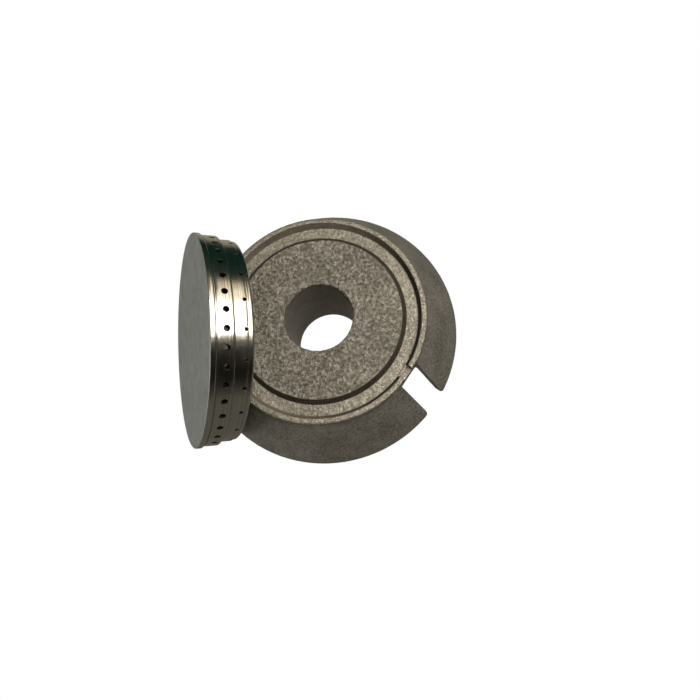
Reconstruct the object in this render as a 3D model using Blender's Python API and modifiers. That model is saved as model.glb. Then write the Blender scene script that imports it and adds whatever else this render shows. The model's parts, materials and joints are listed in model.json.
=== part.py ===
"""Gas hob burner: a cast burner body, and its turned cap lifted off and leaning on the skirt.

Metres, +Z up. The origin is on the burner's axis, at the lower end of its centre tube, so the
part stands on the plane z = 0. The cap leans along X, on the -X side of the body.
"""

import math

import bmesh
import bpy
from mathutils import Matrix, Vector

MM = 0.001

# Driving dimensions of the burner body, measured down from the rim's top.
BODY_HEIGHT = 35.5 * MM
RIM_INNER_R = 34.9 * MM
RIM_WALL = 1.85 * MM
RIM_DRAFT = 1.1 * MM
RIM_DROP = 1.5 * MM
RIM_BREAK = 0.3 * MM
CHANNEL_DEPTH = 2.4 * MM
CHANNEL_FILLET = 0.4 * MM
BOSS_DROP = 1.0 * MM
BOSS_BREAK = 0.3 * MM
BOSS_DRAFT = 0.9 * MM
CASTING_WALL = 2.4 * MM
SKIRT_R = 47.6 * MM
SKIRT_DROP = 20.2 * MM
SKIRT_BREAK = 0.3 * MM
BORE_R = 11.75 * MM
BORE_ROUND = 0.7 * MM
SOCKET_STEP = 0.95 * MM
SOCKET_DEPTH = 9.0 * MM
TUBE_WALL = 2.6 * MM
TUBE_BREAK = 0.5 * MM

# The notch that clears the igniter, and the slot through the rim beside it.
NOTCH_ANGLE = math.radians(-42.5)
NOTCH_WIDTH = 9.0 * MM
NOTCH_WALL = 1.45 * MM
RIM_SLOT_WIDTH = 4.5 * MM
RIM_SLOT_SILL = 0.3 * MM

# Driving dimensions of the cap, measured down from its flat face.
CAP_HEIGHT = 13.35 * MM
DISC_OVERHANG = 0.6 * MM
CAP_EDGE = 1.95 * MM
CAP_BREAK = 0.35 * MM
NECK_WIDTH = 0.4 * MM
NECK_DEPTH = 0.5 * MM
BAND_WIDTH = 4.75 * MM
STEP_WIDTH = 0.5 * MM
GROOVE_WIDTH = 0.45 * MM
GROOVE_DEPTH = 0.5 * MM
LIP_WIDTH = 1.35 * MM
LIP_ROUND = 0.5 * MM
LIP_STEP = 0.4 * MM
CAP_WALL = 2.2 * MM
CAP_PLATE = 2.4 * MM

# The two rows of ports drilled through the cap's wall. The main row stands above the port band's foot,
# and the small row above the groove.
MAIN_PORTS = 40
MAIN_PORT_D = 1.8 * MM
MAIN_PORT_RISE = 2.15 * MM
MAIN_PORT_START = math.radians(5.0)
SMALL_PORTS = 24
SMALL_PORT_D = 1.1 * MM
SMALL_PORT_RISE = 0.75 * MM
SMALL_PORT_START = math.radians(1.8)

# Fits. Seated, the lip stands in the channel, which the drafted rim narrows to centre it, clear of the
# boss, and the port band sits above the rim's inner edge.
CAP_CLEARANCE = 0.3 * MM
BOSS_CLEARANCE = 3.2 * MM
BAND_COVER = 0.8 * MM

# How the cap rests: its axis tilts above the horizontal, and it stands off the body's middle line.
CAP_LEAN = math.radians(29.1)
CAP_SIDE = -1.6 * MM
REST_GAP = 0.3 * MM

BODY_STEPS = 72
CAP_STEPS = 80
PORT_SIDES = 10

# Sizes that follow from the ones above.
RIM_OUTER_R = RIM_INNER_R + RIM_WALL
RIM_FOOT_R = RIM_INNER_R - RIM_DRAFT
BOSS_TOP = BODY_HEIGHT - BOSS_DROP
BAND_R = RIM_INNER_R + BAND_COVER
CAP_R = BAND_R + DISC_OVERHANG
LOWER_BAND_R = RIM_INNER_R - CAP_CLEARANCE
LIP_R = LOWER_BAND_R - LIP_STEP
CAP_INNER_R = LIP_R - CAP_WALL
BOSS_R = CAP_INNER_R - BOSS_CLEARANCE
SOCKET_R = BORE_R + SOCKET_STEP
TUBE_R = SOCKET_R + TUBE_WALL
CAP_NECK_Z = CAP_HEIGHT - CAP_EDGE
BAND_TOP_Z = CAP_NECK_Z - NECK_WIDTH
BAND_FOOT_Z = BAND_TOP_Z - BAND_WIDTH
GROOVE_TOP_Z = LIP_WIDTH + GROOVE_WIDTH


def clear_scene():
    for item in list(bpy.data.objects):
        bpy.data.objects.remove(item, do_unlink=True)


def new_collection(name):
    made = bpy.data.collections.new(name)
    bpy.context.scene.collection.children.link(made)
    return made


def metal(name, colour, roughness, metallic):
    """A Principled material, with a linear colour."""
    made = bpy.data.materials.new(name)
    made.use_nodes = True
    shader = made.node_tree.nodes["Principled BSDF"]
    shader.inputs["Base Color"].default_value = (*colour, 1.0)
    shader.inputs["Roughness"].default_value = roughness
    shader.inputs["Metallic"].default_value = metallic
    made.diffuse_color = (*colour, 1.0)
    return made


def arc(centre, radius, start, end, steps=3):
    """Points of an arc in the (r, z) plane, with its angles in degrees from +r towards +z."""
    turns = [math.radians(start + (end - start) * i / steps) for i in range(steps + 1)]
    return [(centre[0] + radius * math.cos(t), centre[1] + radius * math.sin(t)) for t in turns]


def turned(name, profile, steps, closed, collection):
    """A body of revolution about local Z. The (r, z) profile runs down its outer side."""
    mesh = bpy.data.meshes.new(name)
    form = bmesh.new()
    points = [form.verts.new((r, 0.0, z)) for r, z in profile]
    for first, second in zip(points, points[1:]):
        form.edges.new((first, second))
    if closed:
        form.edges.new((points[-1], points[0]))
    form.to_mesh(mesh)
    form.free()
    made = bpy.data.objects.new(name, mesh)
    collection.objects.link(made)
    screw = made.modifiers.new("turn", "SCREW")
    screw.steps = steps
    screw.render_steps = steps
    screw.use_smooth_shade = False
    screw.use_merge_vertices = True
    screw.merge_threshold = 0.00001
    return made


def helper(name, form, collection):
    """A cutter: it shapes a piece and is no part of the object itself."""
    mesh = bpy.data.meshes.new(name)
    bmesh.ops.recalc_face_normals(form, faces=form.faces)
    form.to_mesh(mesh)
    form.free()
    made = bpy.data.objects.new(name, mesh)
    made.hide_render = True
    made.display_type = "WIRE"
    collection.objects.link(made)
    return made


def box_cutter(name, inner, outer, width, bottom, top, angle, collection):
    """A block that reaches outwards from the axis at an angle about Z."""
    form = bmesh.new()
    bmesh.ops.create_cube(form, size=1.0)
    size = Matrix.Diagonal((outer - inner, width, top - bottom, 1.0))
    place = Matrix.Translation(((inner + outer) / 2, 0.0, (bottom + top) / 2))
    form.transform(Matrix.Rotation(angle, 4, "Z") @ place @ size)
    return helper(name, form, collection)


def port_cutters(name, count, diameter, height, start, collection):
    """A ring of radial drills, one for each port, that pass through the cap's wall."""
    inner = CAP_INNER_R - CAP_WALL
    outer = CAP_R + CAP_WALL
    form = bmesh.new()
    along = Matrix.Translation(((inner + outer) / 2, 0.0, height)) @ Matrix.Rotation(math.pi / 2, 4, "Y")
    for i in range(count):
        bmesh.ops.create_cone(
            form,
            cap_ends=True,
            segments=PORT_SIDES,
            radius1=diameter / 2,
            radius2=diameter / 2,
            depth=outer - inner,
            matrix=Matrix.Rotation(start + i * math.tau / count, 4, "Z") @ along,
        )
    return helper(name, form, collection)


def cut(piece, cutter):
    """Takes the cutter's shape out of the piece. The cutter moves with the piece."""
    boolean = piece.modifiers.new(cutter.name, "BOOLEAN")
    boolean.operation = "DIFFERENCE"
    boolean.solver = "EXACT"
    boolean.object = cutter


def skirt_outline():
    """The body's outer side, from the rim's top edge down to the skirt's lower edge."""
    top = BODY_HEIGHT
    edge = top - SKIRT_DROP
    return [
        (RIM_OUTER_R - RIM_BREAK, top),
        (RIM_OUTER_R, top - RIM_BREAK),
        (RIM_OUTER_R, top - RIM_DROP),
        (SKIRT_R, edge + SKIRT_BREAK),
        (SKIRT_R, edge),
    ]


def body_profile():
    """The casting's section, from the rim's top down the outside, back up the bore and over the boss."""
    top = BODY_HEIGHT
    edge = top - SKIRT_DROP
    floor = top - CHANNEL_DEPTH
    ceiling = floor - CASTING_WALL
    slope = (SKIRT_R - RIM_OUTER_R) / (SKIRT_DROP - SKIRT_BREAK - RIM_DROP)
    wall_across = CASTING_WALL * math.hypot(1.0, slope)
    inner_foot = SKIRT_R - SKIRT_BREAK * slope - wall_across
    inner_head = inner_foot - (ceiling - edge) * slope
    shoulder = SOCKET_DEPTH
    fillet = CHANNEL_FILLET
    profile = skirt_outline()
    profile += [(inner_foot, edge), (inner_head, ceiling)]
    profile += [(TUBE_R, ceiling), (TUBE_R, TUBE_BREAK), (TUBE_R - TUBE_BREAK, 0.0)]
    profile += [(SOCKET_R, 0.0), (SOCKET_R, shoulder), (BORE_R, shoulder)]
    profile += arc((BORE_R + BORE_ROUND, BOSS_TOP - BORE_ROUND), BORE_ROUND, 180.0, 90.0)
    profile += [(BOSS_R - BOSS_BREAK, BOSS_TOP), (BOSS_R, BOSS_TOP - BOSS_BREAK)]
    profile += arc((BOSS_R + BOSS_DRAFT + fillet, floor + fillet), fillet, 180.0, 270.0)
    profile += arc((RIM_FOOT_R - fillet, floor + fillet), fillet, 270.0, 360.0)
    profile += [(RIM_INNER_R, top - RIM_BREAK), (RIM_INNER_R + RIM_BREAK, top)]
    return profile


def cap_profile():
    """The cap's section: flat face, disc edge, neck, port band, lower band, groove, lip and inside."""
    top = CAP_HEIGHT
    lower_top = BAND_FOOT_Z - STEP_WIDTH
    plate = top - CAP_PLATE
    profile = [(0.0, top), (CAP_R - CAP_BREAK, top), (CAP_R, top - CAP_BREAK)]
    profile += [(CAP_R, CAP_NECK_Z + CAP_BREAK), (CAP_R - CAP_BREAK, CAP_NECK_Z)]
    profile += [(BAND_R - NECK_DEPTH, CAP_NECK_Z), (BAND_R - NECK_DEPTH, BAND_TOP_Z)]
    profile += [(BAND_R, BAND_TOP_Z - CAP_BREAK / 2), (BAND_R, BAND_FOOT_Z)]
    profile += [(LOWER_BAND_R, lower_top), (LOWER_BAND_R, GROOVE_TOP_Z)]
    profile += [(LOWER_BAND_R - GROOVE_DEPTH, GROOVE_TOP_Z), (LOWER_BAND_R - GROOVE_DEPTH, LIP_WIDTH)]
    profile += [(LIP_R, LIP_WIDTH), (LIP_R, LIP_ROUND)]
    profile += [(LIP_R - LIP_ROUND, 0.0), (CAP_INNER_R, 0.0), (CAP_INNER_R, plate), (0.0, plate)]
    return profile


def radius_at(outline, height):
    """The radius of an outline that runs downwards, at a height between its ends."""
    for (r1, z1), (r2, z2) in zip(outline, outline[1:]):
        if z2 <= height <= z1 and z1 > z2:
            return r1 + (r2 - r1) * (z1 - height) / (z1 - z2)
    return None


def resting_place():
    """Where the lip's centre lies when the cap stands on z = 0 and leans on the body, lip or inside."""
    sine = math.sin(CAP_LEAN)
    cosine = math.cos(CAP_LEAN)
    height = max(r * cosine - z * sine for r, z in cap_profile())
    outline = skirt_outline()
    across = []
    plate = CAP_HEIGHT - CAP_PLATE
    rings = [(CAP_INNER_R, 0.0), (LIP_R, LIP_ROUND), (CAP_R, CAP_HEIGHT)]
    rings += [(CAP_INNER_R * share / 8, plate) for share in range(9)]
    for ring_r, ring_z in rings:
        for step in range(720):
            turn = math.tau * step / 720
            side = CAP_SIDE + ring_r * math.sin(turn)
            x = ring_r * math.cos(turn) * sine - ring_z * cosine
            z = height + ring_r * math.cos(turn) * cosine + ring_z * sine
            body_r = radius_at(outline, z)
            if body_r is not None and abs(side) < body_r + REST_GAP:
                across.append(-math.sqrt((body_r + REST_GAP) ** 2 - side**2) - x)
    return Vector((min(across), CAP_SIDE, height))


def build_body(parts, cutters):
    body = turned("burner_body", body_profile(), BODY_STEPS, True, parts)
    top = BODY_HEIGHT
    beyond = SKIRT_R + CASTING_WALL
    notch_inner = RIM_INNER_R + NOTCH_WALL
    notch = box_cutter(
        "igniter_notch", notch_inner, beyond, NOTCH_WIDTH, 0.0, top + CASTING_WALL, NOTCH_ANGLE, cutters
    )
    cut(body, notch)
    sill = top - CHANNEL_DEPTH + RIM_SLOT_SILL
    channel_middle = (BOSS_R + RIM_INNER_R) / 2
    slot = box_cutter(
        "rim_slot", channel_middle, beyond, RIM_SLOT_WIDTH, sill, top + CASTING_WALL, NOTCH_ANGLE, cutters
    )
    cut(body, slot)
    body.data.materials.append(metal("cast_iron_blasted", (0.22, 0.20, 0.16), 0.62, 0.85))
    return body


def build_cap(parts, cutters):
    cap = turned("burner_cap", cap_profile(), CAP_STEPS, False, parts)
    rows = (
        ("main_port_drills", MAIN_PORTS, MAIN_PORT_D, BAND_FOOT_Z + MAIN_PORT_RISE, MAIN_PORT_START),
        ("small_port_drills", SMALL_PORTS, SMALL_PORT_D, GROOVE_TOP_Z + SMALL_PORT_RISE, SMALL_PORT_START),
    )
    for name, count, diameter, height, start in rows:
        drills = port_cutters(name, count, diameter, height, start, cutters)
        drills.parent = cap
        cut(cap, drills)
    cap.data.materials.append(metal("nickel_turned", (0.45, 0.43, 0.38), 0.3, 1.0))
    cap.location = resting_place()
    cap.rotation_euler = (0.0, CAP_LEAN - math.pi / 2, 0.0)
    return cap


def main():
    clear_scene()
    parts = new_collection("burner_assembly")
    cutters = new_collection("burner_cutters")
    cutters.hide_render = True
    build_body(parts, cutters)
    cap = build_cap(parts, cutters)
    axis = Vector((-math.cos(CAP_LEAN), 0.0, math.sin(CAP_LEAN)))
    print("cap lip centre", [round(v / MM, 2) for v in cap.location], "axis", [round(v, 4) for v in axis])


main()
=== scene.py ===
# %% [markdown]
# # A gas hob burner with its cap taken off
#
# The burner is two separate pieces of metal: a cast iron body, and a turned and plated cap that drops
# into the ring channel round the body's boss. Here the cap stands on its lip beside the body and leans
# its open mouth on the skirt, as a cook leaves it when the burner is cleaned.
#
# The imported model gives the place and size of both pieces. This script builds the surfaces that the eye
# sees: fine turned meshes for both, and procedural metals on them.

import json
import math

import bmesh
import bpy
from mathutils import Matrix, Vector, noise


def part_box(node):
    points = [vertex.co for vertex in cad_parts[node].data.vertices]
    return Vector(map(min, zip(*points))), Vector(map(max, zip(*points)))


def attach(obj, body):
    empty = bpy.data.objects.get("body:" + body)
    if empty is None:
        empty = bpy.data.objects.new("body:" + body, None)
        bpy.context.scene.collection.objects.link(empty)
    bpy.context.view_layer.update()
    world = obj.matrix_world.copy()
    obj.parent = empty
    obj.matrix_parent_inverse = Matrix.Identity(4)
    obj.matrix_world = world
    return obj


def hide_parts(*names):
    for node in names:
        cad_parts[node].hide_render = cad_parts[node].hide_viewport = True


MM = 0.001
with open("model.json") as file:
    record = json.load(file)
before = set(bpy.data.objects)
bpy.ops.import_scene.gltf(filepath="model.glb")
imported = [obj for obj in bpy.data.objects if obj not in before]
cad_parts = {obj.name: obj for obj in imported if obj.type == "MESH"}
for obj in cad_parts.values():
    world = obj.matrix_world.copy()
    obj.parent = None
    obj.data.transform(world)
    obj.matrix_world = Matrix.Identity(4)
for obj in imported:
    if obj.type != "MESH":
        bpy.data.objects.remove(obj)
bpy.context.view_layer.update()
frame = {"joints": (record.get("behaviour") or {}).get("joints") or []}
body_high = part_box("burner_body")[1]
cap_low, cap_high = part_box("burner_cap")
SKIRT_R = body_high.y
RIM_TOP = body_high.z
print("skirt radius", round(SKIRT_R / MM, 2), "rim top", round(RIM_TOP / MM, 2), "mm")


# %% [markdown]
# ## A lathe made of code
#
# Both pieces are bodies of revolution, so both are turned: an outline of the section is drawn once in
# the (radius, height) plane and spun round the axis. A Screw modifier would do it, but the outline also
# has to say which finish each stretch carries. So `spin_outline` makes the rings itself, and every face
# remembers the stretch that it came from.


# %% Points of an outline
def arc(centre, radius, start, end, steps):
    """Points of an arc in the (r, z) plane, its angles in degrees from +r towards +z."""
    turns = [math.radians(start + (end - start) * i / steps) for i in range(steps + 1)]
    return [(centre[0] + radius * math.cos(t), centre[1] + radius * math.sin(t)) for t in turns]


def finely(points, spacing):
    """The same outline with points no further apart than the spacing."""
    made = [points[0]]
    for (r1, z1), (r2, z2) in zip(points, points[1:]):
        count = max(1, math.ceil(math.hypot(r2 - r1, z2 - z1) / spacing))
        made += [(r1 + (r2 - r1) * i / count, z1 + (z2 - z1) * i / count) for i in range(1, count + 1)]
    return made


print("a 1 mm quarter round in 6 steps has", len(arc((0.0, 0.0), MM, 0.0, 90.0, 6)), "points")


# %% Spinning an outline
ON_AXIS = 1e-7


def new_object(name, form):
    """Turns a bmesh into an object of the scene."""
    mesh = bpy.data.meshes.new(name)
    form.to_mesh(mesh)
    form.free()
    made = bpy.data.objects.new(name, mesh)
    bpy.context.scene.collection.objects.link(made)
    return made


def ring_of(form, r, z, steps):
    """One ring of points. On the axis it is one point, taken again for each step."""
    if r < ON_AXIS:
        return [form.verts.new((0.0, 0.0, z))] * steps
    turns = [math.tau * i / steps for i in range(steps)]
    return [form.verts.new((r * math.cos(t), r * math.sin(t), z)) for t in turns]


def spin_outline(name, stretches, steps):
    """Spins (finish, points) stretches round Z. Each stretch starts where the one before it ends."""
    outline = [stretches[0][1][0]]
    finishes = []
    for finish, points in stretches:
        outline += points[1:]
        finishes += [finish] * (len(points) - 1)
    form = bmesh.new()
    closed = outline[0] == outline[-1]
    rings = [ring_of(form, r, z, steps) for r, z in (outline[:-1] if closed else outline)]
    if closed:
        rings.append(rings[0])
    for k, finish in enumerate(finishes):
        upper, lower = rings[k], rings[k + 1]
        for i in range(steps):
            j = (i + 1) % steps
            corners = list(dict.fromkeys((upper[i], lower[i], lower[j], upper[j])))
            face = form.faces.new(corners)
            face.material_index = finish
            face.smooth = True
    made = new_object(name, form)
    print(name, len(made.data.polygons), "faces on", len(outline), "rings")
    return made


# %% [markdown]
# ### Cutting
#
# Notches, slots and drilled ports are taken out of a turned piece by a Boolean. It could stay on the
# piece as a modifier, but its result is kept as a plain mesh instead. Then the fresh edges can be
# worked on, and the walls of the cut keep the finish that the cutter carries.


# %% Cutters
def prism(name, outline, bottom, top):
    """The mesh of a straight cutter that stands on a flat outline of (x, y) points."""
    form = bmesh.new()
    base = [form.verts.new((x, y, bottom)) for x, y in outline]
    floor = form.faces.new(base)
    lifted = bmesh.ops.extrude_face_region(form, geom=[floor])["geom"]
    raised = [item for item in lifted if isinstance(item, bmesh.types.BMVert)]
    bmesh.ops.translate(form, verts=raised, vec=(0.0, 0.0, top - bottom))
    bmesh.ops.recalc_face_normals(form, faces=form.faces)
    return new_object(name, form)


def cut(piece, cutter, finish):
    """Takes a cutter out of the piece for good and removes it. The cut walls carry the finish."""
    for metal in piece.data.materials:
        cutter.data.materials.append(metal)
    for face in cutter.data.polygons:
        face.material_index = finish
        face.use_smooth = True
    boolean = piece.modifiers.new(cutter.name, "BOOLEAN")
    boolean.operation = "DIFFERENCE"
    boolean.solver = "EXACT"
    boolean.material_mode = "INDEX"
    boolean.object = cutter
    graph = bpy.context.evaluated_depsgraph_get()
    result = bpy.data.meshes.new_from_object(piece.evaluated_get(graph))
    piece.modifiers.clear()
    piece.data = result
    print(piece.name, "has", len(result.polygons), "faces after", cutter.name)
    bpy.data.objects.remove(cutter)


# %% [markdown]
# ## Metals
#
# A metal's look is its colour, how rough it is, and what small relief the tool left. Images could carry
# that, but they would need unwrapping, while noise in the object's own millimetres fits any shape.
# Colours are written as sRGB hex, as a paint chart gives them, and made linear for the shader.


# %% Colours and nodes
def linear(hex_colour):
    """An sRGB hex colour as linear RGBA."""
    shares = [int(hex_colour[i : i + 2], 16) / 255 for i in (1, 3, 5)]
    bent = [s / 12.92 if s <= 0.04045 else ((s + 0.055) / 1.055) ** 2.4 for s in shares]
    return (*bent, 1.0)


def add(tree, kind, settings=None, links=None):
    """Adds a node. Settings are its attributes, its inputs by name or number, or a ramp's stops."""
    made = tree.nodes.new(kind)
    for name, value in (settings or {}).items():
        if name == "stops":
            while len(made.color_ramp.elements) < len(value):
                made.color_ramp.elements.new(0.5)
            for element, (position, colour) in zip(made.color_ramp.elements, value):
                element.position = position
                element.color = linear(colour)
        elif isinstance(name, str) and hasattr(made, name):
            setattr(made, name, value)
        else:
            made.inputs[name].default_value = value
    for name, source in (links or {}).items():
        tree.links.new(source, made.inputs[name])
    return made


def new_metal(name, roughness, metallic):
    """A Principled metal: the material, its tree, its shader and the object's own coordinates."""
    made = bpy.data.materials.new(name)
    made.use_nodes = True
    tree = made.node_tree
    shader = tree.nodes["Principled BSDF"]
    shader.inputs["Metallic"].default_value = metallic
    shader.inputs["Roughness"].default_value = roughness
    place = add(tree, "ShaderNodeTexCoord").outputs["Object"]
    return made, tree, shader, place


print("nickel grey #C6C2B6 is", [round(v, 3) for v in linear("#C6C2B6")])

# %% [markdown]
# ### Shot blasted cast iron
#
# The casting comes out of sand and is cleaned with steel shot. That leaves a skin of pits and peaks
# about a millimetre across, bright on the peaks that the shot burnished and brown-grey in the pits. One
# noise is the sand's lumps, and cells of half that size are the marks of single shot. The lumps drive
# colour and roughness too, so that a pit is dark and dull and a peak is light and glossy. The iron isn't
# fully metallic, because a thin dull oxide covers much of it.

# %% Blasted iron
LUMP_SIZE = 1.0 * MM
CHANNEL_LUMP_SIZE = 0.8 * MM
PEEN_SIZE = 0.45 * MM
PEEN_DEPTH = 0.08 * MM
PATCH_SIZE = 14 * MM
OXIDE_METALLIC = 0.75


def blasted_iron(name, lump_size, relief, stops):
    made, tree, shader, place = new_metal(name, 0.5, OXIDE_METALLIC)
    lump = {"Scale": 1 / lump_size, "Detail": 3.0, "Roughness": 0.6}
    lumps = add(tree, "ShaderNodeTexNoise", lump, {"Vector": place}).outputs["Fac"]
    cell = {"Scale": 1 / PEEN_SIZE, "feature": "SMOOTH_F1"}
    peen = add(tree, "ShaderNodeTexVoronoi", cell, {"Vector": place}).outputs["Distance"]
    patch = {"Scale": 1 / PATCH_SIZE, "Detail": 2.0}
    patches = add(tree, "ShaderNodeTexNoise", patch, {"Vector": place}).outputs["Fac"]
    blend = {"operation": "MULTIPLY_ADD", 1: 0.25}
    tone = add(tree, "ShaderNodeMath", blend, {0: patches, 2: lumps}).outputs[0]
    colour = add(tree, "ShaderNodeValToRGB", {"stops": stops}, {"Fac": tone}).outputs["Color"]
    tree.links.new(colour, shader.inputs["Base Color"])
    dull_to_glossy = {"From Min": 0.35, "From Max": 0.65, "To Min": 0.62, "To Max": 0.38}
    gloss = add(tree, "ShaderNodeMapRange", dull_to_glossy, {"Value": lumps}).outputs["Result"]
    tree.links.new(gloss, shader.inputs["Roughness"])
    shot = add(tree, "ShaderNodeBump", {"Strength": 0.5, "Distance": PEEN_DEPTH}, {"Height": peen})
    sand = {"Strength": 1.0, "Distance": relief}
    skin = add(tree, "ShaderNodeBump", sand, {"Height": lumps, "Normal": shot.outputs["Normal"]})
    tree.links.new(skin.outputs["Normal"], shader.inputs["Normal"])
    print(name, "lumps of", round(lump_size / MM, 2), "mm")
    return made


BOSS_TONES = ((0.42, "#6B665D"), (0.62, "#948D80"), (0.8, "#C4BDAF"))
CHANNEL_TONES = ((0.4, "#777268"), (0.62, "#968F82"), (0.82, "#B6AF9F"))
iron_boss = blasted_iron("blasted_iron_boss", LUMP_SIZE, 1.1 * MM, BOSS_TONES)
iron_channel = blasted_iron("blasted_iron_channel", CHANNEL_LUMP_SIZE, 0.45 * MM, CHANNEL_TONES)

# %% [markdown]
# ### Plainer cast iron
#
# The skirt, the recess walls and the bore lie against smoother sand or are out of the shot's reach.
# They keep a finer grain and slow patches of tone. One recipe serves them all, with its own grain,
# relief and colours for each. The boss's side and the walls of the rim's slot get dark tones of their
# own: painted shade for the shadow that falls there. One side of the rim's inner wall is darker too:
# its colour is mixed towards a dark tone across the casting, painted shade for the rim's shadow there.

# %% Plain iron
TONE_PATCH_SIZE = 9 * MM


def plain_iron(name, grain, relief, roughness, stops):
    """Iron cast against a smoother mould face: fine grain and slow patches of tone."""
    made, tree, shader, place = new_metal(name, roughness, 0.6)
    fine = add(tree, "ShaderNodeTexNoise", {"Scale": 1 / grain, "Detail": 2.0}, {"Vector": place})
    slow = add(tree, "ShaderNodeTexNoise", {"Scale": 1 / TONE_PATCH_SIZE, "Detail": 3.0}, {"Vector": place})
    blend = {"operation": "MULTIPLY_ADD", 1: 0.5}
    sources = {0: slow.outputs["Fac"], 2: fine.outputs["Fac"]}
    tone = add(tree, "ShaderNodeMath", blend, sources).outputs[0]
    colour = add(tree, "ShaderNodeValToRGB", {"stops": stops}, {"Fac": tone}).outputs["Color"]
    tree.links.new(colour, shader.inputs["Base Color"])
    bump = add(tree, "ShaderNodeBump", {"Strength": 0.6, "Distance": relief}, {"Height": fine.outputs["Fac"]})
    tree.links.new(bump.outputs["Normal"], shader.inputs["Normal"])
    print(name, "grain of", round(grain / MM, 2), "mm")
    return made


SKIRT_TONES = ((0.55, "#78736B"), (0.95, "#A8A197"))
WALL_TONES = ((0.55, "#857A6E"), (0.95, "#A5998A"))
# SHADE_TONES are painted shade: dark tones for the shade on the boss's side and in the rim's slot.
SHADE_TONES = ((0.55, "#3C362E"), (0.95, "#554D42"))
BORE_TONES = ((0.55, "#857E78"), (0.95, "#A59D96"))
iron_skirt = plain_iron("cast_iron_skirt", 0.8 * MM, 0.4 * MM, 0.5, SKIRT_TONES)
iron_wall = plain_iron("cast_iron_recess_wall_part_painted_shade", 0.6 * MM, 0.08 * MM, 0.45, WALL_TONES)
iron_shade = plain_iron("cast_iron_boss_side_painted_shade", 0.6 * MM, 0.08 * MM, 0.5, SHADE_TONES)
iron_bore = plain_iron("cast_iron_bore", 0.7 * MM, 0.08 * MM, 0.5, BORE_TONES)

# %% Painted shade on one side of the recess wall
PAINTED_SHADE_SIDE = (0.92, -0.38, 0.0)
PAINTED_SHADE_REACH = 26 * MM
PAINTED_SHADE_COLOUR = "#2E2A24"


def shade_painted(iron, direction, reach, hex_shade):
    """Painted shade on one side of the casting, from the middle out to the reach and beyond."""
    tree = iron.node_tree
    shader = tree.nodes["Principled BSDF"]
    clean = shader.inputs["Base Color"].links[0].from_socket
    place = add(tree, "ShaderNodeTexCoord").outputs["Object"]
    along = {"operation": "DOT_PRODUCT", 1: direction}
    side = add(tree, "ShaderNodeVectorMath", along, {0: place}).outputs["Value"]
    limits = {"From Min": 0.0, "From Max": reach}
    share = add(tree, "ShaderNodeMapRange", limits, {"Value": side}).outputs["Result"]
    mix = add(tree, "ShaderNodeMix", {"data_type": "RGBA", 7: linear(hex_shade)}, {0: share, 6: clean})
    tree.links.new(mix.outputs[2], shader.inputs["Base Color"])
    print(iron.name, "is sooted towards", direction)


# Painted shade: the recess wall is darkened on its right side, where the rim's shadow falls.
shade_painted(iron_wall, PAINTED_SHADE_SIDE, PAINTED_SHADE_REACH, PAINTED_SHADE_COLOUR)

# %% [markdown]
# ### Polished nickel
#
# The cap has the finish of a part that is turned from bar and nickel plated. Its side is polished, so
# it is nearly a mirror, but a tool leaves faint rings round it. The rings are a noise that only changes
# along the cap's own axis. Tool rings are often about 0.1 mm apart. They are drawn 0.5 mm apart, so
# that they show from this far. Slow smears change the gloss a little, as handling would.

# %% Polished side
RING_PITCH = 0.5 * MM
RING_DEPTH = 0.01 * MM
SMEAR_SIZE = 6 * MM


def polished_nickel(name):
    made, tree, shader, place = new_metal(name, 0.16, 1.0)
    along = add(tree, "ShaderNodeSeparateXYZ", None, {"Vector": place}).outputs["Z"]
    pitch = {"noise_dimensions": "1D", "Scale": 1 / RING_PITCH, "Detail": 2.0}
    rings = add(tree, "ShaderNodeTexNoise", pitch, {"W": along}).outputs["Fac"]
    smear = {"Scale": 1 / SMEAR_SIZE, "Detail": 3.0}
    smears = add(tree, "ShaderNodeTexNoise", smear, {"Vector": place}).outputs["Fac"]
    plate_tones = {"stops": ((0.3, "#A7A397"), (0.7, "#C6C2B6"))}
    tone = add(tree, "ShaderNodeValToRGB", plate_tones, {"Fac": rings}).outputs["Color"]
    tree.links.new(tone, shader.inputs["Base Color"])
    clean_to_smeared = {"From Min": 0.3, "From Max": 0.7, "To Min": 0.16, "To Max": 0.24}
    gloss = add(tree, "ShaderNodeMapRange", clean_to_smeared, {"Value": smears}).outputs["Result"]
    tree.links.new(gloss, shader.inputs["Roughness"])
    bump = add(tree, "ShaderNodeBump", {"Strength": 0.3, "Distance": RING_DEPTH}, {"Height": rings})
    tree.links.new(bump.outputs["Normal"], shader.inputs["Normal"])
    print(name, "rings every", round(RING_PITCH / MM, 2), "mm")
    return made


nickel_side = polished_nickel("nickel_polished")

# %% [markdown]
# ### Ground and dull nickel
#
# The flat face looks ground instead of polished: it is matte, with short scratches one way and soft
# clouds. The port walls are given dark brown tones. The inside of the cup is mostly hidden,
# so its duller finish is a guess: a surface left as the tool cut it.

# %% Ground face
SCRATCH_SIZE = 0.6 * MM
SCRATCH_DEPTH = 0.03 * MM
SCRATCH_STRETCH = (1.0, 0.25, 1.0)
CLOUD_SIZE = 7 * MM


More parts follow.
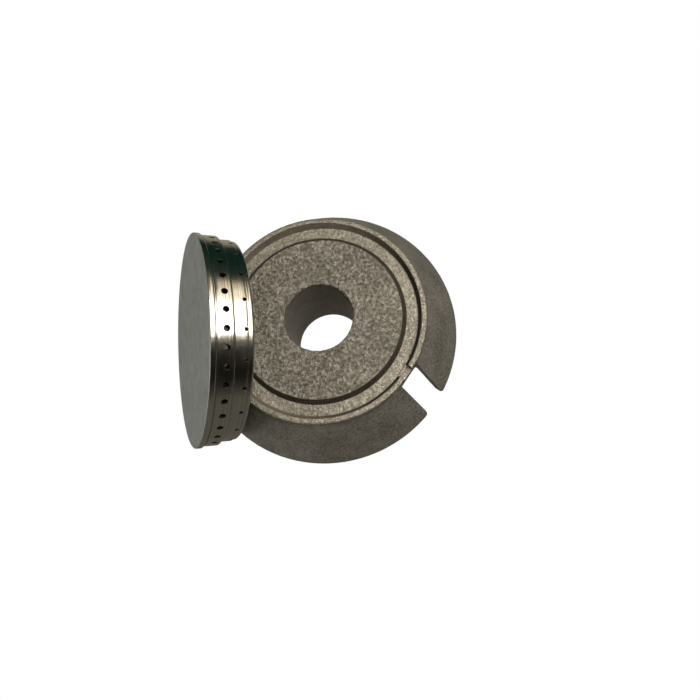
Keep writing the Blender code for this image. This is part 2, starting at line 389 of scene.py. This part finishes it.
def ground_nickel(name):
    made, tree, shader, place = new_metal(name, 0.55, 0.8)
    stretched = add(tree, "ShaderNodeMapping", {"Scale": SCRATCH_STRETCH}, {"Vector": place})
    scratch = {"Scale": 1 / SCRATCH_SIZE, "Detail": 3.0}
    scratches = add(tree, "ShaderNodeTexNoise", scratch, {"Vector": stretched.outputs["Vector"]})
    cloud = {"Scale": 1 / CLOUD_SIZE, "Detail": 3.0}
    clouds = add(tree, "ShaderNodeTexNoise", cloud, {"Vector": place})
    blend = {"operation": "MULTIPLY_ADD", 1: 0.6}
    sources = {0: clouds.outputs["Fac"], 2: scratches.outputs["Fac"]}
    tone = add(tree, "ShaderNodeMath", blend, sources).outputs[0]
    face_tones = {"stops": ((0.6, "#8E908B"), (1.0, "#ACADA8"))}
    colour = add(tree, "ShaderNodeValToRGB", face_tones, {"Fac": tone}).outputs["Color"]
    tree.links.new(colour, shader.inputs["Base Color"])
    depth = {"Strength": 0.4, "Distance": SCRATCH_DEPTH}
    bump = add(tree, "ShaderNodeBump", depth, {"Height": scratches.outputs["Fac"]})
    tree.links.new(bump.outputs["Normal"], shader.inputs["Normal"])
    print(name, "scratches of", round(SCRATCH_SIZE / MM, 2), "mm")
    return made


nickel_face = ground_nickel("nickel_ground_face")

# %% Dull inside and ports
BLOTCH_SIZE = 2 * MM


def dull_nickel(name, hex_dark, hex_light, roughness):
    made, tree, shader, place = new_metal(name, roughness, 0.9)
    blotch = {"Scale": 1 / BLOTCH_SIZE, "Detail": 3.0}
    blotches = add(tree, "ShaderNodeTexNoise", blotch, {"Vector": place}).outputs["Fac"]
    tones = {"stops": ((0.3, hex_dark), (0.7, hex_light))}
    colour = add(tree, "ShaderNodeValToRGB", tones, {"Fac": blotches}).outputs["Color"]
    tree.links.new(colour, shader.inputs["Base Color"])
    print(name, hex_dark, "to", hex_light)
    return made


nickel_inside = dull_nickel("nickel_inside", "#7C786D", "#98948A", 0.4)
nickel_drilled = dull_nickel("nickel_drilled_port", "#3A352E", "#5A544A", 0.5)

# %% [markdown]
# ## The body casting
#
# One outline runs from the rim's crown, down the conical skirt, under it, down and up the centre tube,
# over the boss and through the channel, back to the rim. A sand casting has no sharp corner, so each
# corner is an arc, and the walls of the recess lean so that the pattern could be drawn out. The rings
# are close together where the blasted grain has to be real relief.

# %% Body sizes
RIM_INNER_R = 34.75 * MM
RIM_WALL = 2.0 * MM
RIM_DRAFT = 1.0 * MM
RIM_DROP = 1.6 * MM
RIM_CROWN = 0.75 * MM
RIM_BREAK = 0.25 * MM
CHANNEL_DEPTH = 2.4 * MM
FOOT_FILLET = 0.3 * MM
BOSS_DROP = 1.0 * MM
BOSS_R = 28.7 * MM
BOSS_ROUND = 0.35 * MM
BOSS_DRAFT = 0.9 * MM
CASTING_WALL = 2.4 * MM
SKIRT_DROP = 20.2 * MM
SKIRT_ROUND = 0.5 * MM
BORE_R = 11.75 * MM
BORE_ROUND = 0.9 * MM
SOCKET_R = 12.7 * MM
SOCKET_DEPTH = 9.0 * MM
TUBE_R = 15.3 * MM
TUBE_ROUND = 0.5 * MM
CHANNEL_FLOOR = RIM_TOP - CHANNEL_DEPTH
BOSS_TOP = RIM_TOP - BOSS_DROP
print("channel", round((RIM_INNER_R - RIM_DRAFT - BOSS_R - BOSS_DRAFT) / MM, 2), "mm wide at its floor")

# %% Outside of the body
BODY_STEPS = 400
GRAIN_SPACING = 0.55 * MM
SKIRT_SPACING = 1.0 * MM
BORE_SPACING = 1.5 * MM
HIDDEN_SPACING = 3.0 * MM
BOSS, CHANNEL, WALL, SHADE, SKIRT, BORE = range(6)


def outside_stretches():
    """From the rim's crown down the skirt, under it and to the foot of the centre tube."""
    rim_outer = RIM_INNER_R + RIM_WALL
    ceiling = CHANNEL_FLOOR - CASTING_WALL
    edge = RIM_TOP - SKIRT_DROP
    slope = (SKIRT_R - rim_outer) / (SKIRT_DROP - SKIRT_ROUND - RIM_DROP)
    fall = math.degrees(math.atan(slope))
    inner_foot = SKIRT_R - CASTING_WALL * math.hypot(1.0, slope)
    inner_head = inner_foot - (ceiling - edge) * slope
    crown = arc((rim_outer - RIM_CROWN, RIM_TOP - RIM_CROWN), RIM_CROWN, 90.0, 0.0, 6)
    skirt_lip = arc((SKIRT_R - SKIRT_ROUND, edge + SKIRT_ROUND), SKIRT_ROUND, fall, -90.0, 6)
    under = [skirt_lip[-1], (inner_foot, edge), (inner_head, ceiling), (TUBE_R, ceiling)]
    tube_foot = arc((TUBE_R - TUBE_ROUND, TUBE_ROUND), TUBE_ROUND, 0.0, -90.0, 4)
    return [
        (CHANNEL, crown),
        (SKIRT, finely([crown[-1], (rim_outer, RIM_TOP - RIM_DROP), *skirt_lip], SKIRT_SPACING)),
        (SKIRT, finely(under, HIDDEN_SPACING)),
        (SKIRT, finely([under[-1], *tube_foot], HIDDEN_SPACING)),
    ]


print("outside in", len(outside_stretches()), "stretches")


# %% Inside and top of the body
def inside_stretches(start, end):
    """From the tube's foot up the bore, over the boss and through the channel to the rim's crown."""
    socket = [start, (SOCKET_R, 0.0), (SOCKET_R, SOCKET_DEPTH), (BORE_R, SOCKET_DEPTH)]
    mouth = arc((BORE_R + BORE_ROUND, BOSS_TOP - BORE_ROUND), BORE_ROUND, 180.0, 90.0, 6)
    boss_edge = arc((BOSS_R - BOSS_ROUND, BOSS_TOP - BOSS_ROUND), BOSS_ROUND, 90.0, 0.0, 4)
    fillet_z = CHANNEL_FLOOR + FOOT_FILLET
    boss_foot = arc((BOSS_R + BOSS_DRAFT + FOOT_FILLET, fillet_z), FOOT_FILLET, 180.0, 270.0, 4)
    rim_foot = arc((RIM_INNER_R - RIM_DRAFT - FOOT_FILLET, fillet_z), FOOT_FILLET, 270.0, 360.0, 4)
    rim_break = arc((RIM_INNER_R + RIM_BREAK, RIM_TOP - RIM_BREAK), RIM_BREAK, 180.0, 90.0, 3)
    return [
        (BORE, finely([*socket, mouth[0]], BORE_SPACING)),
        (BOSS, mouth),
        (BOSS, finely([mouth[-1], boss_edge[0]], GRAIN_SPACING)),
        # The boss's rounded edge and side carry the painted shade finish.
        (SHADE, finely([*boss_edge, *boss_foot], GRAIN_SPACING)),
        (CHANNEL, finely([boss_foot[-1], *rim_foot], GRAIN_SPACING)),
        (WALL, finely([rim_foot[-1], rim_break[0]], GRAIN_SPACING)),
        (CHANNEL, finely([*rim_break, end], GRAIN_SPACING)),
    ]


outside = outside_stretches()
inside = inside_stretches(outside[-1][1][-1], outside[0][1][0])
casting = spin_outline("burner_casting", outside + inside, BODY_STEPS)
for iron in (iron_boss, iron_channel, iron_wall, iron_shade, iron_skirt, iron_bore):
    casting.data.materials.append(iron)

# %% [markdown]
# ### The igniter's notch
#
# A parallel notch is cut out of the skirt as far as the rim. Here it is taken to be the igniter's. Its
# inner corners are rounded, and its mouth flares. A narrower slot goes on through the rim and ends on a
# sill just above the channel's floor. Upright prisms cut both.

# %% Notch
NOTCH_ANGLE = math.radians(-42.5)
NOTCH_WIDTH = 9.0 * MM
NOTCH_WALL = 1.45 * MM
NOTCH_INNER_R = RIM_INNER_R + NOTCH_WALL
NOTCH_CORNER = 0.7 * MM
NOTCH_MOUTH_ROUND = 1.2 * MM
BEYOND = 2 * MM


def turned_by(points, angle):
    cosine, sine = math.cos(angle), math.sin(angle)
    return [(x * cosine - y * sine, x * sine + y * cosine) for x, y in points]


def notch_outline():
    """The notch seen from above, reaching out along +X: round corners inside, a flared mouth outside."""
    half = NOTCH_WIDTH / 2
    mouth = math.sqrt(SKIRT_R**2 - half**2) - NOTCH_MOUTH_ROUND
    corner = arc((NOTCH_INNER_R + NOTCH_CORNER, half - NOTCH_CORNER), NOTCH_CORNER, 180.0, 90.0, 5)
    flare = arc((mouth, half + NOTCH_MOUTH_ROUND), NOTCH_MOUTH_ROUND, 270.0, 350.0, 6)
    upper = [*corner, *flare, (SKIRT_R + 2 * BEYOND, half + 3 * BEYOND)]
    return upper + [(x, -y) for x, y in reversed(upper)]


notch = prism("igniter_notch", turned_by(notch_outline(), NOTCH_ANGLE), -BEYOND / 2, RIM_TOP + BEYOND)
cut(casting, notch, SKIRT)

# %% Slot through the rim
RIM_SLOT_WIDTH = 4.5 * MM
RIM_SLOT_SILL = 0.3 * MM
SAME_HEIGHT = 0.01 * MM
UPWARD = 0.9

slot_start = (BOSS_R + RIM_INNER_R) / 2
slot_end = SKIRT_R + BEYOND
slot_half = RIM_SLOT_WIDTH / 2
slot_box = [(slot_start, -slot_half), (slot_end, -slot_half), (slot_end, slot_half), (slot_start, slot_half)]
sill = CHANNEL_FLOOR + RIM_SLOT_SILL
# The slot's walls carry the painted shade finish; only its sill gets the channel's finish back.
cut(casting, prism("rim_slot", turned_by(slot_box, NOTCH_ANGLE), sill, RIM_TOP + BEYOND), SHADE)
for face in casting.data.polygons:
    on_sill = face.normal.z > UPWARD and abs(face.center.z - sill) < SAME_HEIGHT
    if face.material_index == SHADE and on_sill:
        face.material_index = CHANNEL
print("sill at", round(sill / MM, 2), "mm")

# %% [markdown]
# ### Relief that is really there
#
# Bump in a shader is enough for peening, but the sand's lumps also show on the boss's outline and in
# the bore's edge. So the points of the blasted faces are moved along their normals, by a noise that is
# the same in every run. A displacement modifier would need a vertex group for each depth, and a loop
# over the points is shorter.

# %% Cast relief
RELIEF = {BOSS: 0.11 * MM, CHANNEL: 0.06 * MM, SKIRT: 0.035 * MM}
RELIEF_SIZE = 1.1 * MM


def roughen(piece, relief, size):
    """Moves each point by noise, as deep as the smoothest of the finishes that meet there allows."""
    form = bmesh.new()
    form.from_mesh(piece.data)
    moved = 0
    for vert in form.verts:
        depths = [relief.get(face.material_index, 0.0) for face in vert.link_faces]
        depth = min(depths) if depths else 0.0
        if depth > 0.0:
            vert.co += vert.normal * depth * noise.fractal(vert.co / size, 1.0, 2.0, 3)
            moved += 1
    form.to_mesh(piece.data)
    form.free()
    print(piece.name, "roughened at", moved, "points")


roughen(casting, RELIEF, RELIEF_SIZE)
casting.data.set_sharp_from_angle(angle=math.radians(40))
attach(casting, "body")
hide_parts("burner_body")

# %% [markdown]
# ## The cap
#
# The cap is a shallow cup. Seen from the side it is a stack of bands: the edge of the flat disc, a fine
# neck, the port band, a step, the lower band with its small ports, a groove and the rounded lip. The
# outline is drawn with the lip at z = 0 and the flat face on top, and the whole cap is laid in place
# when it is done.

# %% Cap sizes
CAP_HEIGHT = 13.35 * MM
CAP_R = 36.3 * MM
FACE_ROUND = 0.4 * MM
CAP_EDGE = 1.95 * MM
NECK_WIDTH = 0.4 * MM
NECK_DEPTH = 0.5 * MM
BAND_R = 35.7 * MM
BAND_WIDTH = 4.75 * MM
STEP_WIDTH = 0.5 * MM
LOWER_BAND_R = 34.6 * MM
GROOVE_WIDTH = 0.45 * MM
GROOVE_DEPTH = 0.45 * MM
LIP_WIDTH = 1.35 * MM
LIP_R = 34.2 * MM
LIP_ROUND = 0.6 * MM
CAP_WALL = 2.2 * MM
CAP_PLATE = 2.4 * MM
EDGE_BREAK = 0.12 * MM
NECK_Z = CAP_HEIGHT - CAP_EDGE
BAND_TOP_Z = NECK_Z - NECK_WIDTH
BAND_FOOT_Z = BAND_TOP_Z - BAND_WIDTH
GROOVE_TOP_Z = LIP_WIDTH + GROOVE_WIDTH
print("port band from", round(BAND_FOOT_Z / MM, 2), "to", round(BAND_TOP_Z / MM, 2), "mm above the lip")

# %% Cap outline
CAP_STEPS = 360
SIDE_SPACING = 0.8 * MM
FLAT_SPACING = 2.5 * MM
SIDE, FACE, INSIDE, DRILLED = range(4)


def cap_stretches():
    """The flat face, the side from the disc's edge down to the lip, and the cup's inside."""
    inner = LIP_R - CAP_WALL
    plate = CAP_HEIGHT - CAP_PLATE
    neck_r = BAND_R - NECK_DEPTH
    groove_r = LOWER_BAND_R - GROOVE_DEPTH
    disc_r = CAP_R - FACE_ROUND
    edge_r = BAND_R - EDGE_BREAK
    face_edge = arc((disc_r, CAP_HEIGHT - FACE_ROUND), FACE_ROUND, 90.0, 0.0, 5)
    under_edge = arc((disc_r, NECK_Z + FACE_ROUND), FACE_ROUND, 0.0, -90.0, 5)
    band_edge = arc((edge_r, BAND_TOP_Z - EDGE_BREAK), EDGE_BREAK, 90.0, 0.0, 3)
    step_edge = arc((edge_r, BAND_FOOT_Z + EDGE_BREAK), EDGE_BREAK, 0.0, -60.0, 3)
    groove_edge = arc((LOWER_BAND_R - EDGE_BREAK, GROOVE_TOP_Z + EDGE_BREAK), EDGE_BREAK, 0.0, -90.0, 3)
    lip_top = arc((LIP_R - EDGE_BREAK, LIP_WIDTH - EDGE_BREAK), EDGE_BREAK, 90.0, 0.0, 3)
    lip_foot = arc((LIP_R - LIP_ROUND, LIP_ROUND), LIP_ROUND, 0.0, -90.0, 6)
    side = [*face_edge[3:], *under_edge, (neck_r, NECK_Z), (neck_r, BAND_TOP_Z)]
    side += [*band_edge, *step_edge, (LOWER_BAND_R, BAND_FOOT_Z - STEP_WIDTH)]
    side += [*groove_edge, (groove_r, GROOVE_TOP_Z), (groove_r, LIP_WIDTH), *lip_top, *lip_foot]
    cup = [lip_foot[-1], (inner, 0.0), (inner, plate), (0.0, plate)]
    return [
        (FACE, finely([(0.0, CAP_HEIGHT), *face_edge[:4]], FLAT_SPACING)),
        (SIDE, finely(side, SIDE_SPACING)),
        (INSIDE, finely(cup, FLAT_SPACING)),
    ]


cap = spin_outline("burner_cap_turned", cap_stretches(), CAP_STEPS)
for nickel in (nickel_side, nickel_face, nickel_inside, nickel_drilled):
    cap.data.materials.append(nickel)

# %% [markdown]
# ### The ports
#
# Gas leaves through two rows of holes, here made as drilled ones. The main row would carry the flames,
# and the small row, which sits lower, would keep them lit. Taking off the burr leaves a small flare at
# each hole, so each cutter is a cylinder that opens outwards just at the surface. A whole row is one
# cutter.

# %% Port drills
MAIN_PORTS = 40
MAIN_PORT_D = 1.8 * MM
MAIN_PORT_RISE = 2.15 * MM
MAIN_PORT_START = math.radians(5.0)
SMALL_PORTS = 24
SMALL_PORT_D = 1.1 * MM
SMALL_PORT_RISE = 0.75 * MM
SMALL_PORT_START = math.radians(1.8)
BURR_FLARE = 0.12 * MM
DRILL_REACH = 1.0 * MM
PORT_SIDES = 20


def drill(form, turn, height, stations):
    """One drill along a radius: a loop of points at each (distance, radius) station."""
    loops = []
    for x, r in stations:
        sides = [math.tau * k / PORT_SIDES for k in range(PORT_SIDES)]
        points = [Vector((x, r * math.cos(t), height + r * math.sin(t))) for t in sides]
        loops.append([form.verts.new(turn @ point) for point in points])
    form.faces.new(loops[0])
    form.faces.new(loops[-1])
    for first, second in zip(loops, loops[1:]):
        for k in range(PORT_SIDES):
            j = (k + 1) % PORT_SIDES
            form.faces.new((first[k], second[k], second[j], first[j]))


def drill_row(name, count, diameter, height, surface_r, start):
    """A ring of radial drills as one cutter, flared where each one leaves the surface."""
    form = bmesh.new()
    radius = diameter / 2
    stations = [
        (LIP_R - CAP_WALL - DRILL_REACH, radius),
        (surface_r - BURR_FLARE, radius),
        (surface_r + DRILL_REACH, radius + BURR_FLARE + DRILL_REACH),
    ]
    for i in range(count):
        drill(form, Matrix.Rotation(start + math.tau * i / count, 4, "Z"), height, stations)
    bmesh.ops.recalc_face_normals(form, faces=form.faces)
    return new_object(name, form)


main_height = BAND_FOOT_Z + MAIN_PORT_RISE
small_height = GROOVE_TOP_Z + SMALL_PORT_RISE
main_row = drill_row("main_ports", MAIN_PORTS, MAIN_PORT_D, main_height, BAND_R, MAIN_PORT_START)
cut(cap, main_row, DRILLED)
small_row = drill_row("small_ports", SMALL_PORTS, SMALL_PORT_D, small_height, LOWER_BAND_R, SMALL_PORT_START)
cut(cap, small_row, DRILLED)
cap.data.set_sharp_from_angle(angle=math.radians(25))

# %% [markdown]
# ### Leaning the cap
#
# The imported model's joint says which way the cap's own axis points, and its box says how far left and
# how low the cap reaches. The outline gives the same two reaches from the lip's centre, so the place of
# the centre follows from the difference.

# %% Cap in place
cap_axis = Vector(frame["joints"][0]["axis"]).normalized()
lean = math.asin(cap_axis.z)
section = [point for _, points in cap_stretches() for point in points]
reach_left = min(-z * math.cos(lean) - r * math.sin(lean) for r, z in section)
reach_low = min(z * math.sin(lean) - r * math.cos(lean) for r, z in section)
cap.rotation_euler = (0.0, lean - math.pi / 2, 0.0)
cap.location = (cap_low.x - reach_left, (cap_low.y + cap_high.y) / 2, cap_low.z - reach_low)
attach(cap, "cap")
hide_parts("burner_cap")
print("lip centre", [round(v / MM, 2) for v in cap.location], "lean", round(math.degrees(lean), 1))

# %% [markdown]
# ## Studio
#
# Polished metal shows its surroundings more than itself, so the room matters as much as the lamps. The
# table is a light table inside a white tent. Both glow an even white and are set so that they neither
# light the metal nor show in it. What the metal mirrors is the room: dim, with a dark side where the
# maker stands, a green wall behind and the pale edge of a bench below.


# %% Table and tent
def white_glow():
    made = bpy.data.materials.new("white_glow")
    made.use_nodes = True
    shader = made.node_tree.nodes["Principled BSDF"]
    shader.inputs["Base Color"].default_value = linear("#000000")
    shader.inputs["Specular IOR Level"].default_value = 0.0
    shader.inputs["Emission Color"].default_value = linear("#FFFFFF")
    shader.inputs["Emission Strength"].default_value = 1.0
    return made


def stage_piece(name, form, glow):
    """A stage piece that is seen, but neither lights the metal nor shows in it."""
    made = new_object(name, form)
    made.data.materials.append(glow)
    made.visible_diffuse = False
    made.visible_glossy = False
    print(name, [round(v, 1) for v in made.dimensions], "m")
    return made


TABLE_HALF = 1.6
TENT_R = 4.0
glow = white_glow()
flat = bmesh.new()
bmesh.ops.create_grid(flat, x_segments=1, y_segments=1, size=TABLE_HALF)
stage_piece("light_table", flat, glow)
tent = bmesh.new()
bmesh.ops.create_uvsphere(tent, u_segments=48, v_segments=24, radius=TENT_R)
stage_piece("backdrop_tent", tent, glow).visible_shadow = False

# %% [markdown]
# ### Lamps
#
# One softbox puts the bright stripe on the cap, and a small one beside it softens the stripe's edge.
# A close one, overhead and to the right, lights the casting and lets it darken towards the left. The
# last one fills the cap's flat face from the left.


# %% Softboxes
def softbox(name, direction, distance, size, watts, hex_colour):
    """A square area lamp that looks at the middle of the burner."""
    lamp = bpy.data.lights.new(name, "AREA")
    lamp.shape = "SQUARE"
    lamp.size = size
    lamp.energy = watts
    lamp.color = linear(hex_colour)[:3]
    holder = bpy.data.objects.new(name, lamp)
    way = Vector(direction).normalized()
    holder.location = Vector((0.0, 0.0, RIM_TOP)) + way * distance
    holder.rotation_euler = (-way).to_track_quat("-Z", "Y").to_euler()
    bpy.context.scene.collection.objects.link(holder)
    print(name, watts, "W at", distance, "m")


softbox("softbox_stripe", (0.58, 0.42, 0.70), 0.8, 0.28, 0.42, "#FFF4E2")
softbox("softbox_side", (0.52, 0.64, 0.56), 0.8, 0.14, 0.08, "#E8D6BA")
softbox("softbox_overhead", (0.42, 0.05, 0.90), 0.33, 0.2, 0.98, "#FFFCF4")
softbox("softbox_left", (-0.95, -0.1, 0.35), 0.8, 0.5, 3.0, "#F6FAF8")


# %% Room
def room(base, lobes):
    """An even room with soft patches of other colours: direction, outer and inner angle, colour."""
    world = bpy.data.worlds.new("dim_room")
    bpy.context.scene.world = world
    world.use_nodes = True
    tree = world.node_tree
    way = add(tree, "ShaderNodeTexCoord").outputs["Generated"]
    colour = add(tree, "ShaderNodeRGB").outputs[0]
    colour.default_value = linear(base)
    for direction, wide, narrow, patch in lobes:
        along = {"operation": "DOT_PRODUCT", 1: Vector(direction).normalized()}
        near = add(tree, "ShaderNodeVectorMath", along, {0: way}).outputs["Value"]
        limits = {"From Min": math.cos(math.radians(wide)), "From Max": math.cos(math.radians(narrow))}
        share = add(tree, "ShaderNodeMapRange", limits, {"Value": near}).outputs["Result"]
        mix = add(tree, "ShaderNodeMix", {"data_type": "RGBA", 7: linear(patch)}, {0: share, 6: colour})
        colour = mix.outputs[2]
    tree.links.new(colour, tree.nodes["Background"].inputs["Color"])
    print("room of", base, "with", len(lobes), "patches")


DARK_SIDE = ((0.45, -0.62, 0.64), 46.0, 24.0, "#1A1815")
GREEN_WALL = ((0.20, 0.97, -0.05), 42.0, 30.0, "#12302A")
BENCH_EDGE = ((-0.22, 0.62, -0.75), 34.0, 22.0, "#A8A292")
room("#6A6862", (DARK_SIDE, GREEN_WALL, BENCH_EDGE))
bpy.context.scene.view_settings.view_transform = "Standard"

# %% [markdown]
# ## Camera
#
# The camera looks down steeply from the front, close enough for clear perspective, and is rolled by
# about 22 degrees. A lens of 28 mm on a full frame takes in the table round the burner.

# %% Camera
CAMERA_PLACE = Vector((20.84, -63.71, 208.22)) * MM
CAMERA_AIM = Vector((9.17, -13.65, 35.5)) * MM
CAMERA_ROLL = math.radians(-21.9)
CAMERA_LENS = 28.16
CAMERA_SENSOR = 36.0

eye = bpy.data.cameras.new("camera")
eye.sensor_width = CAMERA_SENSOR
eye.lens = CAMERA_LENS
eye.clip_start = 10 * MM
camera = bpy.data.objects.new("camera", eye)
camera.location = CAMERA_PLACE
look = (CAMERA_AIM - CAMERA_PLACE).to_track_quat("-Z", "Y").to_matrix()
camera.rotation_euler = (look @ Matrix.Rotation(CAMERA_ROLL, 3, "Z")).to_euler()
bpy.context.scene.collection.objects.link(camera)
bpy.context.scene.camera = camera
print("camera", round((CAMERA_AIM - CAMERA_PLACE).length / MM), "mm from the burner")

# %% Update, and the end
bpy.context.view_layer.update()
